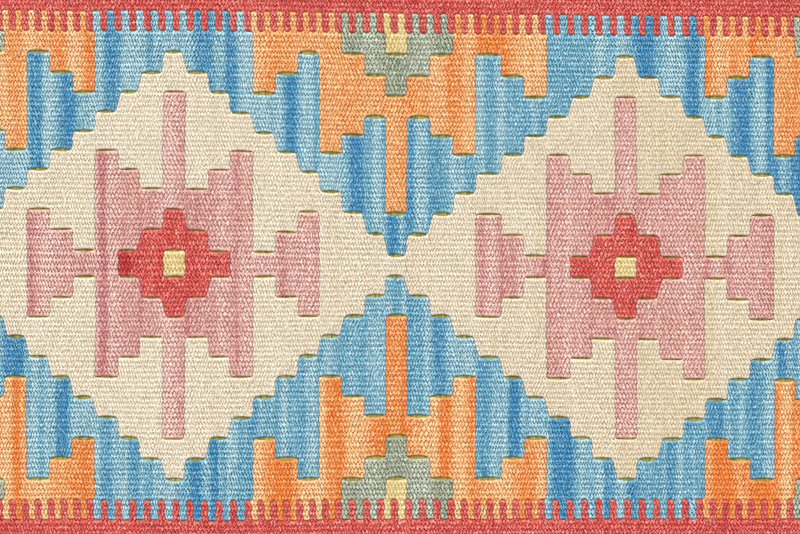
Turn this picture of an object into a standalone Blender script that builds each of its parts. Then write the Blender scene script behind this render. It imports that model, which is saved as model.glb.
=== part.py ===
"""Kilim rug: one piece of slit tapestry in wool, lying flat, in metres, +Z up.

The warps run along X. The weft is beaten down until it hides them, so each warp shows as
one low rib, and the ribs are the cloth's main relief. Along Y the cloth is a patterned field,
a row of teeth beyond each long side of it, and a plain border that ends in the selvedge. At
each end of X it finishes in a plain band. The origin is under the middle of the cloth, on
the surface that it lies on.
"""
import math
import random

import bmesh
import bpy

# Driving dimensions
WARP_PITCH = 0.0025        # four warps to the centimetre
STEP_WARPS = 4             # warps in one step of the pattern
FIELD_STEPS = 23           # steps across the patterned field
TEETH_WARPS = 4            # length of the teeth, on each long side
BORDER_WARPS = 8           # plain border from the teeth to the selvedge
COLUMN = 0.01113           # width of one pattern column, along the warps
FIELD_COLUMNS = 41         # two repeats of 20 columns, and the one that ends the second
END_BAND = 0.0180          # plain band at each end

CREST = 0.0026             # thickness of the cloth over a rib
VALLEY = 0.0019            # thickness between two ribs
EDGE = 0.0012              # thickness at the selvedge and at the ends
SHOULDER = 0.31            # where a rib's shoulder stands, as a share of the pitch

RIB_WANDER = 0.00012       # how far a rib's crest rises and falls along the cloth
EDGE_WANDER = 0.0006       # how far the selvedges and ends stray from straight
DRAW_IN = 0.045            # how much narrower the cloth gets for each metre towards +X
SKEW = 0.004               # how far the warps run towards -Y, as a slope
END_ROUND = 0.0020         # length over which each end thins to its edge
SPANS = 6                  # lengths that each rib is built of, with the two thinned ends
WAVES = 3                  # waves added up in each wander
SEED = 23

RIBS = STEP_WARPS * FIELD_STEPS + 2 * (TEETH_WARPS + BORDER_WARPS)
LENGTH = COLUMN * FIELD_COLUMNS + 2 * END_BAND
WIDTH = WARP_PITCH * RIBS
POINTS_PER_RIB = 3         # a valley and two shoulders

WOOL_COLOUR = (0.74, 0.62, 0.45, 1.0)
WOOL_ROUGHNESS = 0.9


def clear_scene():
    """Remove whatever objects the file opened with."""
    for item in list(bpy.data.objects):
        bpy.data.objects.remove(item, do_unlink=True)


def wander(random_source, reach, size):
    """Return a smooth function of a position that strays up to `size` either way."""
    waves = []
    for number in range(1, WAVES + 1):
        length = reach / (number + random_source.uniform(0.1, 0.6))
        waves.append((2 * math.pi / length, random_source.uniform(0, 2 * math.pi)))

    def offset(position):
        total = sum(math.sin(rate * position + phase) for rate, phase in waves)
        return size * total / WAVES

    return offset


def along_place(column):
    """Return how far along the cloth one column of points stands."""
    inner = LENGTH / 2 - END_ROUND
    if column == 0:
        return -LENGTH / 2
    if column == SPANS:
        return LENGTH / 2
    return -inner + 2 * inner * (column - 1) / (SPANS - 2)


def across_place(row):
    """Return (y, height) of one row of points: valley, shoulder, shoulder, valley..."""
    rib, part = divmod(row, POINTS_PER_RIB)
    share = (0.0, SHOULDER, 1.0 - SHOULDER)[part]
    height = VALLEY if part == 0 else CREST
    if row in (0, RIBS * POINTS_PER_RIB):
        height = EDGE
    return -WIDTH / 2 + (rib + share) * WARP_PITCH, height


def build_cloth_mesh():
    """Make the ribbed top, its low rim and the flat underside as one closed mesh."""
    random_source = random.Random(SEED)
    side_wander = wander(random_source, LENGTH, EDGE_WANDER)
    end_wander = wander(random_source, WIDTH, EDGE_WANDER)
    rib_wanders = [wander(random_source, LENGTH, RIB_WANDER) for _ in range(RIBS + 1)]
    rows = RIBS * POINTS_PER_RIB

    cloth = bmesh.new()
    bmesh.ops.create_grid(cloth, x_segments=SPANS, y_segments=rows, size=0.5)
    for point in cloth.verts:
        column = round((point.co.x + 0.5) * SPANS)
        row = round((point.co.y + 0.5) * rows)
        along = along_place(column)
        across, height = across_place(row)
        if column in (0, SPANS):
            height = EDGE
        elif height == CREST:
            height += rib_wanders[row // POINTS_PER_RIB](along) - RIB_WANDER
        stray_along = end_wander(across) * (2 * along / LENGTH)
        stray_across = side_wander(along) * (2 * across / WIDTH)
        drawn = across * (1 - DRAW_IN * along) - SKEW * along
        point.co = (along - stray_along, drawn - stray_across, height)

    rim = [edge for edge in cloth.edges if edge.is_boundary]
    skirt = bmesh.ops.extrude_edge_only(cloth, edges=rim)["geom"]
    for point in skirt:
        if isinstance(point, bmesh.types.BMVert):
            point.co.z = 0.0
    foot = [edge for edge in cloth.edges if edge.is_boundary]
    bmesh.ops.contextual_create(cloth, geom=foot)
    bmesh.ops.recalc_face_normals(cloth, faces=cloth.faces)

    mesh = bpy.data.meshes.new("kilim_rug")
    cloth.to_mesh(mesh)
    cloth.free()
    return mesh


def wool_material():
    """Matt cream wool, the yarn that covers most of the field."""
    wool = bpy.data.materials.new("cream_wool")
    wool.use_nodes = True
    surface = wool.node_tree.nodes["Principled BSDF"]
    surface.inputs["Base Color"].default_value = WOOL_COLOUR
    surface.inputs["Roughness"].default_value = WOOL_ROUGHNESS
    surface.inputs["Metallic"].default_value = 0.0
    return wool


def build():
    """Put the one solid in a collection named for the object."""
    clear_scene()
    collection = bpy.data.collections.new("kilim_rug_parts")
    bpy.context.scene.collection.children.link(collection)
    mesh = build_cloth_mesh()
    mesh.materials.append(wool_material())
    collection.objects.link(bpy.data.objects.new("kilim_rug", mesh))


build()
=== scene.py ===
# %% [markdown]
# # A small kilim in slit tapestry
#
# The real rug is one cloth. Wool warps run along X, and dyed wool wefts are beaten down over
# them until no warp shows. What the eye sees is thousands of short floats of weft, each as
# long as one warp is wide, and stepped by half a float from one warp to the next.
#
# The lesson goes as a weaver does: first the count of the cloth, then the chart, then which
# wool crosses each warp where, and at last the shape and the finish of the floats.
# Lengths are in metres, and a comment gives the unit where it is another.

# %% Load the imported rug
import math
import random
from functools import partial

import bmesh
import bpy
import numpy as np
from mathutils import Matrix, Vector


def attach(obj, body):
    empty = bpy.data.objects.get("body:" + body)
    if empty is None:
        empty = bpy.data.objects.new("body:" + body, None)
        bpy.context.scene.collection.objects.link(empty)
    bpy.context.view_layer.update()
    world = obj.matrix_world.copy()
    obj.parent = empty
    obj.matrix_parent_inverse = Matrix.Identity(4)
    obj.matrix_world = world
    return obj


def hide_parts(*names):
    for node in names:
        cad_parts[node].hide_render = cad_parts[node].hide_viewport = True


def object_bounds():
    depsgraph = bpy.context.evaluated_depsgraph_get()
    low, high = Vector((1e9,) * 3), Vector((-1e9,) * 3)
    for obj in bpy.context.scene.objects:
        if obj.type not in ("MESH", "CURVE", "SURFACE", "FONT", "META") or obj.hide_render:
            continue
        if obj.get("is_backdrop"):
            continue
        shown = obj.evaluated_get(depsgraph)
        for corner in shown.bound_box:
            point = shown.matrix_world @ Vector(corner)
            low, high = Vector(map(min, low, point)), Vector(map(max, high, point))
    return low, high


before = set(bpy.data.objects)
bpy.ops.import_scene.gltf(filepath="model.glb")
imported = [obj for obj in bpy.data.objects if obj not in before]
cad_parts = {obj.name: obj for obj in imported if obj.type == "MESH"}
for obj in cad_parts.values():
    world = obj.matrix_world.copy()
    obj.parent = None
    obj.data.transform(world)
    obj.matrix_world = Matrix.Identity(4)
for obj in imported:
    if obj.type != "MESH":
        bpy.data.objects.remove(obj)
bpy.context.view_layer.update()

# %% [markdown]
# ## The count of the cloth
#
# A kilim is planned on its warps. Here four warps make a centimetre, four warps make one step
# of the pattern, and 23 steps make the field. Beyond the field, on both long sides, are four
# warps of teeth and eight warps of plain border.
#
# Along the warps the unit is the pick, which is half a float. The weaver didn't beat every
# block equally hard, so a column holds 12.6 picks in one block and 14 in the next. One table of
# block edges holds that, and `numpy.interp` turns any pick number into metres.

# %% Count warps, steps, columns and picks
WARP_PITCH = 0.0025        # from one warp to the next
STEP_WARPS = 4
FIELD_STEPS = 23
TEETH_WARPS = 4
BORDER_WARPS = 8
COLUMN = 0.01113           # width of one column of the pattern, along the warps
END_BAND = 0.0180          # plain band at each end
SIDE_WARPS = BORDER_WARPS + TEETH_WARPS
WARPS = STEP_WARPS * FIELD_STEPS + 2 * SIDE_WARPS
MIDDLE_STEP = FIELD_STEPS // 2
FIELD_COLUMNS = 41
MIDDLE_COLUMN = FIELD_COLUMNS // 2
CLOTH_LENGTH = COLUMN * FIELD_COLUMNS + 2 * END_BAND
CLOTH_WIDTH = WARP_PITCH * WARPS

# The ends of the blocks, in columns from the middle of the rug and in picks from its end
BLOCK_COLUMNS = (-20.5, -17.5, -13.5, -6.5, -2.5, 2.5, 6.5, 13.5, 17.5, 20.5)
BLOCK_PICKS = (22, 62, 118, 206, 262, 326, 382, 470, 526, 566)
PICKS = 588
PARTS = 3                  # rows of faces across one warp
ROWS = PARTS * WARPS

known_picks = (0, *BLOCK_PICKS, PICKS)
block_places = (COLUMN * column for column in BLOCK_COLUMNS)
known_places = (-CLOTH_LENGTH / 2, *block_places, CLOTH_LENGTH / 2)
pick_places = np.interp(np.arange(PICKS + 1), known_picks, known_places)


def picks_at(place):
    """Count how many picks lie before a place along the cloth."""
    return np.interp(place, pick_places, np.arange(PICKS + 1))


def place_of(pick):
    """Say where a pick lies along the cloth."""
    return np.interp(pick, np.arange(PICKS + 1), pick_places)


print("cloth", round(1000 * CLOTH_LENGTH, 1), "x", round(1000 * CLOTH_WIDTH, 1), "mm")
mean_float = round(2000 * CLOTH_LENGTH / PICKS, 2)
print(WARPS, "warps,", PICKS // 2, "floats on each, mean float", mean_float, "mm")

# %% [markdown]
# ## The chart
#
# The pattern is a stepped medallion, an old motif that every flatweaving district has. It is
# symmetric left to right and top to bottom, so the chart needs only one quarter: `k` columns
# out from the middle of the nearest medallion and `r` steps up or down. Two short lists
# give the top step of the rose figure and of the blue ground in each column, and
# plain sums of `k` and `r` give the stepped diamonds.

# %% Chart one quarter of a medallion
ROSE_TOP = (8, 3, 4, 5, 0, 1, 2)
BLUE_TOP = (11, 11, 11, 11, 8, 9, 10, 5, 6, 7, 2)
STAR_REACH = 2             # k + r on the rim of the star
DIAMOND_REACH = 10         # k + r on the rim of the cream diamond
SAGE_CELLS = ((8, 11), (9, 10), (9, 11), (10, 9), (10, 10))
REPEAT = 20                # columns from one medallion to the next


def charted_wool(k, r):
    """Name the wool in one cell of the chart."""
    if k + r == 0 or (k, r) == (DIAMOND_REACH, MIDDLE_STEP):
        return "straw"
    if k + r <= STAR_REACH:
        return "red"
    if k < len(ROSE_TOP) and r <= ROSE_TOP[k]:
        return "rose"
    if k + r <= DIAMOND_REACH:
        return "cream"
    if r <= BLUE_TOP[k]:
        return "blue"
    return "sage" if (k, r) in SAGE_CELLS else "orange"


def from_medallion(column):
    """Count columns from the middle of the nearest medallion, for 0 to 40 along the field."""
    return abs(abs(column - MIDDLE_COLUMN) - REPEAT // 2)


for r in range(MIDDLE_STEP, -1, -1):
    print("".join(charted_wool(k, r)[0] for k in range(DIAMOND_REACH, -1, -1)), "step", r)

# %% [markdown]
# ## The teeth
#
# Beyond the last step of the field the colours run on as teeth into the red border: four
# picks of colour and four picks of red, over and over. Each block starts its own teeth, so
# the table below lists the pick on which a block of teeth starts and the wool it takes. A blue
# tooth is a little broader than the others, because three of its fine floats fill it.

# %% List the teeth
TOOTH_BLOCKS = (
    (22, "straw"), (38, "sage"), (62, "orange"), (118, "blue"), (206, "orange"),
    (262, "sage"), (286, "straw"), (302, "sage"), (326, "orange"), (382, "blue"),
    (470, "orange"), (526, "sage"), (550, "straw"), (566, "red"),
)
TOOTH_PERIOD = 8
TOOTH_PICKS = 4
BROADER = 0.0004           # how much broader a blue tooth is


def list_teeth():
    """List all teeth and the red between them: the pick each starts on, its place and wool."""
    teeth = []
    for (start, wool), (stop, _) in zip(TOOTH_BLOCKS, TOOTH_BLOCKS[1:]):
        for first in range(start, stop, TOOTH_PERIOD):
            last = first + TOOTH_PICKS
            more = BROADER * (wool == "blue")
            teeth.append((first - 1, place_of(first - 0.5), wool))
            teeth.append((last - 1, place_of(last - 0.5) + more, "red"))
    return teeth


print("first teeth:", [wool for _, _, wool in list_teeth()[:6]])

# %% [markdown]
# ## Where a colour really turns back
#
# On a real loom no two columns are equally wide. The weaver turns each colour back a little
# early or late, and along a stepped diamond the turns drift with the slope, so each step is
# wider on the side nearer to the middle warp.
#
# Neighbouring warps turn on neighbouring picks, which locks the two wools together. So the 42
# column edges stand between two picks, `edge_picks` and the one after it.

# %% Set the column edges
TURN_WANDER = 0.00022      # how far one turn strays by chance
TURN_STRAYS = (            # places along the cloth, and how far the turns near them stray
    (-0.190, 0.0006), (-0.100, 0.0004), (-0.040, -0.0001), (0.0, -0.0013),
    (0.030, -0.0012), (0.052, 0.0006), (0.075, 0.0012), (0.110, 0.0003), (0.180, 0.0006),
)
DRIFT = 0.00145            # how far an edge drifts over one step of a diamond
TURN_SEED = 11
turns = np.random.default_rng(TURN_SEED)
edge_places = (np.arange(FIELD_COLUMNS + 1) - FIELD_COLUMNS / 2) * COLUMN
edge_places = edge_places + turns.normal(0, TURN_WANDER, FIELD_COLUMNS + 1)
edge_places = edge_places + np.interp(edge_places, *zip(*TURN_STRAYS))
edge_picks = np.floor(picks_at(edge_places)).astype(int)
edge_places = place_of(edge_picks + 0.5)


def drift_side(edge, step):
    """Say which way one column edge drifts: 0 where it isn't the edge of a diamond."""
    if edge in (0, FIELD_COLUMNS):
        return 0
    left = from_medallion(edge - 1)
    right = from_medallion(edge)
    if min(left, right) + abs(step) not in (STAR_REACH, DIAMOND_REACH):
        return 0
    side = 1 if right > left else -1
    return -side * np.sign(step)


print("the first columns turn after picks", edge_picks[:4])

# %% [markdown]
# ## Two thicknesses of yarn
#
# Cream and blue are spun finer than the other wools, so more of their floats lie in a column.
# Each thickness gets its own count of picks along the cloth. Both counts agree on every
# column edge, also on whether it is an odd or an even pick, so the wools still lock together
# there. Elsewhere they only meet at slits, where no wool crosses to the other side.

# %% Count the fine picks
FINE_PICK = 0.000684       # mean length of a fine pick
FINE_WOOLS = ("cream", "blue")
FINE_PICKS = 2 * round(CLOTH_LENGTH / FINE_PICK / 2)


def same_parity(wanted, like):
    """Round a number to the nearest one that is odd or even like another."""
    return 2 * np.round((wanted - like % 2) / 2).astype(int) + like % 2


fine_edges = same_parity((edge_places + CLOTH_LENGTH / 2) / FINE_PICK - 0.5, edge_picks)
fine_places = np.interp(
    np.arange(FINE_PICKS + 1),
    (0, *(fine_edges + 0.5), FINE_PICKS),
    (-CLOTH_LENGTH / 2, *edge_places, CLOTH_LENGTH / 2),
)


def fine_pick(pick, place):
    """Find the fine pick that stands for a pick at a place where two wools meet."""
    return same_parity(np.interp(place, fine_places, np.arange(FINE_PICKS + 1)) - 0.5, pick)


COUNTS = {"thick": pick_places, "fine": fine_places}
print("thick picks in a column:", np.diff(edge_picks)[:6])
print("fine picks in a column:", np.diff(fine_edges)[:6])

# %% [markdown]
# ## Which piece each float belongs to
#
# Every wool becomes its own piece, so that a scene can recolour it. A piece is named
# for its wool and its place. `turns_on` lists, for one warp, where one piece gives way
# to the next.

# %% Name the pieces along each warp
PIECES = (
    "cream_left", "cream_right", "blue_upper", "blue_lower", "orange_upper", "orange_lower",
    "rose_left", "rose_right", "star_left", "star_right", "straw_blocks", "sage_blocks",
    "border_upper", "border_lower", "end_left", "end_right",
)


def field_piece(wool, x, step):
    """Name the piece that a charted cell belongs to."""
    if wool in ("blue", "orange"):
        return wool + ("_upper" if step > 0 else "_lower")
    if wool in ("cream", "rose", "red"):
        return {"red": "star"}.get(wool, wool) + ("_right" if x > 0 else "_left")
    return {"straw": "straw_blocks", "sage": "sage_blocks"}[wool]


def wool_of(name):
    """Name the wool of a piece, so that the red pieces around the field count as one."""
    wool = name.split("_")[0]
    return "red" if wool in ("border", "end") else wool


def count_of(name):
    """Say which count of picks a piece is woven to."""
    return "fine" if wool_of(name) in FINE_WOOLS else "thick"


def turns_on(warp):
    """List where pieces turn on one warp: pick, place, drift to the next warp, next piece."""
    side = "_upper" if warp > WARPS / 2 else "_lower"
    if warp < BORDER_WARPS or warp >= WARPS - BORDER_WARPS:
        return [(0, 0, 0, "border" + side)]
    found = [(0, 0, 0, "end_left")]
    if warp < SIDE_WARPS or warp >= WARPS - SIDE_WARPS:
        for pick, place, wool in list_teeth():
            is_red = wool == "red"
            name = "border" + side if is_red else field_piece(wool, place, warp - WARPS / 2)
            found.append((pick, place, 0, name))
    else:
        step = (warp - SIDE_WARPS) // STEP_WARPS - MIDDLE_STEP
        for column in range(FIELD_COLUMNS):
            wool = charted_wool(from_medallion(column), abs(step))
            name = field_piece(wool, column - MIDDLE_COLUMN, step)
            slope = DRIFT / STEP_WARPS * drift_side(column, step)
            if name != found[-1][3]:
                found.append((edge_picks[column], edge_places[column], slope, name))
    found.append((edge_picks[-1], edge_places[-1], 0, "end_right"))
    return found


print("across the middle warp:", [name for *_, name in turns_on(WARPS // 2)])

# %% [markdown]
# Now both counts get a table with the number of the piece that owns each pick of each warp.
# Floats on an even warp start on an even pick and those on an odd warp on an odd pick, which
# is what steps them by half. The turning places are shared, so the two counts
# meet there without a gap: `turned_x` holds them, and is empty (nan) everywhere else.

# %% Give each pick to a piece
LOCKED = 0.55              # how much of the step between two warps is left where wools lock
owner = {}
turned_x = {}
for count, places in COUNTS.items():
    owner[count] = np.full((WARPS, len(places) - 1), -1)
    turned_x[count] = np.full((ROWS + 1, len(places)), np.nan)
wool_turns = []            # for each warp, the places at its lower and upper side, and the wools
for warp in range(WARPS):
    first, *later = turns_on(warp)
    starts = [{"thick": 0, "fine": 0, "name": first[3]}]
    lines = [(-CLOTH_LENGTH / 2, -CLOTH_LENGTH / 2, wool_of(first[3]))]
    rows = slice(PARTS * warp, PARTS * warp + PARTS + 1)
    for pick, place, slope, name in later:
        drifted = place + slope * (warp % STEP_WARPS + 0.5 - STEP_WARPS / 2)
        thick = same_parity(picks_at(drifted), warp)
        fine = fine_pick(pick, place) + thick - pick
        x = drifted + LOCKED * (pick_places[thick] - drifted)
        x = x + slope * (np.arange(PARTS + 1) / PARTS - 0.5)
        turned_x["thick"][rows, thick] = x
        turned_x["fine"][rows, fine] = x
        starts.append({"thick": thick, "fine": fine, "name": name})
        lines.append((x[0], x[-1], wool_of(name)))
    wool_turns.append(lines)
    for count, places in COUNTS.items():
        stops = [start[count] for start in starts[1:]] + [len(places) - 1]
        for start, stop in zip(starts, stops):
            if count_of(start["name"]) == count:
                owner[count][warp, start[count]:stop] = PIECES.index(start["name"])
for number, name in enumerate(PIECES):
    print(name, int((owner[count_of(name)] == number).sum() // 2), "floats")

# %% [markdown]
# A float beside a turn gives way, so that no float there is much shorter than the others.

# %% Ease the picks beside each turn
EASE = (0.55, 0.25)        # how much the first and the second pick beside a turn move with it
weft_x = {}
for count, places in COUNTS.items():
    fixed = ~np.isnan(turned_x[count])
    shift = np.where(fixed, turned_x[count] - places, 0.0)
    eased = shift.copy()
    for away, share in enumerate(EASE, start=1):
        eased[:, away:] += ~fixed[:, away:] * share * shift[:, :-away]
        eased[:, :-away] += ~fixed[:, :-away] * share * shift[:, away:]
    weft_x[count] = places + eased
    weft_x[count][:, [0, -1]] = places[[0, -1]]
    shortest = 1000 * float(np.diff(weft_x[count]).min())
    print(count, "picks are at least", round(shortest, 2), "mm long")

# %% [markdown]
# ## The slits
#
# Where two wools meet along a warp, neither crosses the other, and the cloth has a slit as
# long as the block is wide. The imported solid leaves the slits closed, because none opens much
# over two millimetres, so they are made here. The two lips part most in the middle of the
# slit, and the picks around it are pushed together a little. `lips` holds how far a lip
# moves, `pushed` how far the rows around it move, and `level` where two wools meet.

# %% Open the slits
LEAST_SLIT = 0.0024        # two wools that meet over less than this leave no slit
SHORT_SLIT = 0.0046        # a slit up to this length, as between two teeth, opens less
LONG_OPENING = (0.00078, 0.00108)     # how far each lip moves, in the middle of a slit
SHORT_OPENING = (0.00028, 0.00048)
TIGHT = 0.65               # the slits around the rose figures are narrower
LIP_SHAPE = 0.62           # under 1 the ends of a slit are blunt, over 1 they are pointed
PUSH_ROWS = 2.5            # rows over which the push of a lip dies away
PUSH_REACH = 12            # rows that it reaches at all
SAME_PLACE = 1e-6          # two places nearer than this are one
SLIT_SEED = 31


def wools_apart(below, above):
    """List where the wools of two neighbouring warps differ: start, stop, and the wools."""
    below = [(place, wool) for _, place, wool in below]
    above = [(place, wool) for place, _, wool in above]
    stops = sorted({place for place, _ in below + above} | {CLOTH_LENGTH / 2})
    stretches = []
    for start, stop in zip(stops, stops[1:]):
        under = [wool for place, wool in below if place <= start][-1]
        over = [wool for place, wool in above if place <= start][-1]
        if under == over:
            continue
        met = {under, over}
        if stretches and stretches[-1][1] == start:
            start, _, before = stretches.pop()
            met |= before
        stretches.append((start, stop, met))
    return stretches


openings = random.Random(SLIT_SEED)
lips = {count: np.zeros((WARPS + 1, x.shape[1])) for count, x in weft_x.items()}
pushed = {count: np.zeros(x.shape) for count, x in weft_x.items()}
level = {count: np.zeros((WARPS + 1, x.shape[1]), bool) for count, x in weft_x.items()}
slit_count = 0
for warp in range(1, WARPS):
    line = PARTS * warp
    near = slice(max(line - PUSH_REACH, 0), line + PUSH_REACH + 1)
    away = np.arange(ROWS + 1)[near] - line
    fade = (np.sign(away) * np.exp(-np.abs(away) / PUSH_ROWS))[:, None]
    for start, stop, met in wools_apart(wool_turns[warp - 1], wool_turns[warp]):
        is_slit = stop - start > LEAST_SLIT
        is_long = stop - start > SHORT_SLIT
        wide = is_slit * openings.uniform(*(LONG_OPENING if is_long else SHORT_OPENING))
        wide *= TIGHT if met & {"rose", "star"} else 1
        slit_count += is_long
        for count, x in weft_x.items():
            share = (x[near] - start) / (stop - start)
            lens = np.clip(np.sin(math.pi * np.clip(share, 0, 1)), 0, 1) ** LIP_SHAPE
            here = (x[line] > start + SAME_PLACE) & (x[line] < stop - SAME_PLACE)
            level[count][warp] |= here
            lips[count][warp] += here * wide * lens[away == 0][0]
            pushed[count][near] += fade * wide * lens
print(slit_count, "slits, widest", round(2000 * lips["thick"].max(), 2), "mm")

# %% [markdown]
# ## The lie of the cloth
#
# Hand weaving is never square. This rug gets narrower towards +X, its warps run a little
# downhill, its edges stray by half a millimetre, and its picks wander. The first three are
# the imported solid's own, from the same seeded waves, so both outlines agree.
# The wander of the picks is a sum of a few long waves.
#
# The warps also lie closer in some steps than in others. `WARP_SHIFTS` says, for the
# two medallions and the waist between them, how many millimetres the warps stand above their
# plan on some steps, as measured at the photo's slits.

# %% Lay a point on the finished cloth
MILLIMETRE = 0.001
EDGE_WANDER = 0.0006       # how far the edges stray from straight
DRAW_IN = 0.045            # how much narrower the cloth gets for each metre towards +X
SKEW = 0.004               # how far the warps run towards -Y, as a slope
WAVES = 3                  # waves added up in each stray of an edge
WAVE_STRAY = (0.1, 0.6)    # how far their numbers stray above 1, 2 and 3
CLOTH_SEED = 23
SHIFTED_STEPS = (-11.5, -7.5, -4.5, -1.5, -0.5, 0.5, 3.5, 5.5, 7.5, 9.5, 11.5)
WARP_SHIFTS = {
    -0.122: (0, 0.2, 0.1, -0.7, -0.6, 2.5, 2.7, 1.5, 0.3, -0.4, 0),
    0.0: (0, 1.4, 0.9, 0.4, 0.0, 0.7, 1.1, 0.3, -1.5, -1.0, 0),
    0.122: (0, -0.3, -0.7, -0.8, -0.5, 0.2, 1.5, 0.5, -0.4, -0.9, 0),
}
PICK_WANDER = 0.00016      # how far the picks wander
PICK_WAVES = 7
PICK_RATES = ((40, 190), (-170, 170), (0, 6.3))     # a wave's rates along X and Y, and its phase
EDGE_CALM = 8              # how sharply that wander stops at the edges


def wander(random_source, reach, size):
    """Return a smooth function of a position that strays up to `size` either way."""
    waves = []
    for number in range(1, WAVES + 1):
        length = reach / (number + random_source.uniform(*WAVE_STRAY))
        waves.append((2 * math.pi / length, random_source.uniform(0, 2 * math.pi)))

    def offset(place):
        """Give the stray at a place, or at many."""
        return size / WAVES * sum(np.sin(rate * place + phase) for rate, phase in waves)

    return offset


cloth_random = random.Random(CLOTH_SEED)
side_wander = wander(cloth_random, CLOTH_LENGTH, EDGE_WANDER)
end_wander = wander(cloth_random, CLOTH_WIDTH, EDGE_WANDER)
pick_waves = [[cloth_random.uniform(*ends) for ends in PICK_RATES] for _ in range(PICK_WAVES)]


def pick_wander(x, y):
    """Stray smoothly over the whole cloth, for one direction."""
    total = sum(np.sin(a * x + b * y + phase) for a, b, phase in pick_waves)
    return PICK_WANDER * total / math.sqrt(PICK_WAVES)


def warp_shift(x, y):
    """Say how far a warp stands above its plan, at some points."""
    middles = list(WARP_SHIFTS)
    steps = y / (STEP_WARPS * WARP_PITCH)
    total = np.zeros(np.shape(x))
    for number, line in enumerate(WARP_SHIFTS.values()):
        share = np.interp(x, middles, np.eye(len(middles))[number])
        total = total + MILLIMETRE * share * np.interp(steps, SHIFTED_STEPS, line)
    return total


def on_cloth(x, y):
    """Move points from the straight count of the cloth to where they lie."""
    outward = np.maximum(np.abs(2 * x / CLOTH_LENGTH), np.abs(2 * y / CLOTH_WIDTH))
    inside = 1 - outward ** EDGE_CALM
    along = x + inside * pick_wander(x, y)
    across = y + inside * pick_wander(y, -x) + warp_shift(x, y)
    drawn = across * (1 - DRAW_IN * along) - SKEW * along
    stray_along = end_wander(across) * (2 * along / CLOTH_LENGTH)
    stray_across = side_wander(along) * (2 * across / CLOTH_WIDTH)
    return along - stray_along, drawn - stray_across


corner_place = on_cloth(CLOTH_LENGTH / 2, CLOTH_WIDTH / 2)
print("a corner lies at", [round(1000 * float(v), 2) for v in corner_place], "mm")

# %% [markdown]
# ## Uneven yarn
#
# Hand-spun yarn runs thick and thin, so no float is quite like the next. The floats differ in
# patches, because one length of yarn lies in neighbouring picks. `soft_field` makes such
# patches: random numbers on a coarse grid, joined by straight lines.

# %% Make fields that change slowly
def soft_field(source, length, rows_apart):
    """Make a seeded field that changes over the given length and number of rows."""
    knots = source.normal(0, 1, (ROWS // rows_apart + 3, int(CLOTH_LENGTH / length) + 3))
    rows = np.arange(ROWS + 1) / rows_apart

    def field(places):
        """Give the field on every row, at some places along the cloth."""
        along = (places + CLOTH_LENGTH / 2) / length
        wide = np.stack([np.interp(along, np.arange(len(line)), line) for line in knots])
        return np.stack([np.interp(rows, np.arange(len(line)), line) for line in wide.T], axis=1)

    return field


LOOSE_SEED = 17
LEAN_PATCH = (0.0075, 10)  # the length along the warps, and the rows, over which a field changes
YARN_PATCH = (0.0042, 24)
JOSTLE_PATCH = (0.0030, PARTS)
STRAY_PATCH = (0.0117, 6)
loose = np.random.default_rng(LOOSE_SEED)
lean_patches = soft_field(loose, *LEAN_PATCH)
thick_and_thin = soft_field(loose, *YARN_PATCH)
jostling = soft_field(loose, *JOSTLE_PATCH)
stray_across = soft_field(loose, *STRAY_PATCH)
thickest = np.abs(thick_and_thin(pick_places)).max()
print("the thickest yarn lies", round(float(thickest), 1), "spreads from the mean")

# %% [markdown]
# ## The shape of a float
#
# A float swells over its warp and dives under the next one, so it is a plump
# lozenge: high along its middle pick, low at its two sides, lowest at its tips. The tips
# reach in between the floats of the next warp, which draws a dark zigzag between two warps:
# partly real shade of this shape, and partly shade painted in the material.
# One float could be a copied capsule, but copies would cross each other and leave the cloth
# open. A closed sheet with a point wherever the surface turns is truer, and has far fewer
# faces.
#
# Every point strays a little, alone and with its patch, and `keep_order` sees to it that
# none passes its neighbour. Near a turn the strays die away, so that the wools still lock:
# `room_beside` counts how far off the nearest turn is.

# %% Keep the points in order
UNEVEN_PICKS = 6           # picks beside a turn over which the patches' strays begin
LEAST_SPAN = 0.00012       # the least distance between two points of a row or of a pick


def room_beside(fixed):
    """Count the picks from every point to the nearest turn in its row."""
    far = 4 * UNEVEN_PICKS
    pick = np.indices(fixed.shape)[1]
    before = np.maximum.accumulate(np.where(fixed, pick, -far), axis=1)
    after = np.minimum.accumulate(np.where(fixed, pick, pick.max() + far)[:, ::-1], axis=1)
    return np.minimum(pick - before, after[:, ::-1] - pick)


def keep_order(places, axis):
    """Push points on where they would come before their neighbours."""
    steps = LEAST_SPAN * np.indices(places.shape)[axis]
    return np.maximum.accumulate(places - steps, axis=axis) + steps


print("two points that had crossed lie at", keep_order(np.array([0.0, -0.001]), 0))

# %% [markdown]
# A handful of sizes now make the float. The underside has the same floats, a half step away,
# and stands on the floor with its crests.

# %% Shape the two faces of the weave
SHARES = np.array([0.0, 0.31, 0.69])  # where the three rows of a warp lie, as shares of it
CREST = 0.00257            # height of a float's middle
SIDE_DIP = 0.00013         # how much lower its sides are
TURN_DIP = 0.55            # share of the side dip where two wools lock
WARP_DIP = 0.00022         # how much lower its tips are
ROLLED_TOP = 0.00205       # the top and the underside of a rolled edge
ROLLED_UNDER = 0.00090
LOCK = 0.00094             # how far a float's tip reaches between the floats of the next warp
PINCH = 0.125              # how far its sides are pinched towards its middle, in warps
LEAN = 0.00004             # how far a float leans
LOOSE = 0.18               # how far a point strays, as a share of the room beside it
MOST_LOOSE = 2.2           # the furthest that it goes, in such strays
LOOSE_ACROSS = 0.00012     # how far it strays across the warp, and down
PATCH_LEAN = 0.00020       # how far the lean changes from patch to patch
PATCH_STRAY = 0.00006      # how far warp lines stray within a patch
UNEVEN_YARN = 0.00042      # how far thick and thin lengths of yarn move the floats
JOSTLE = 0.00020           # how far the floats of one warp move past those of the next


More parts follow.
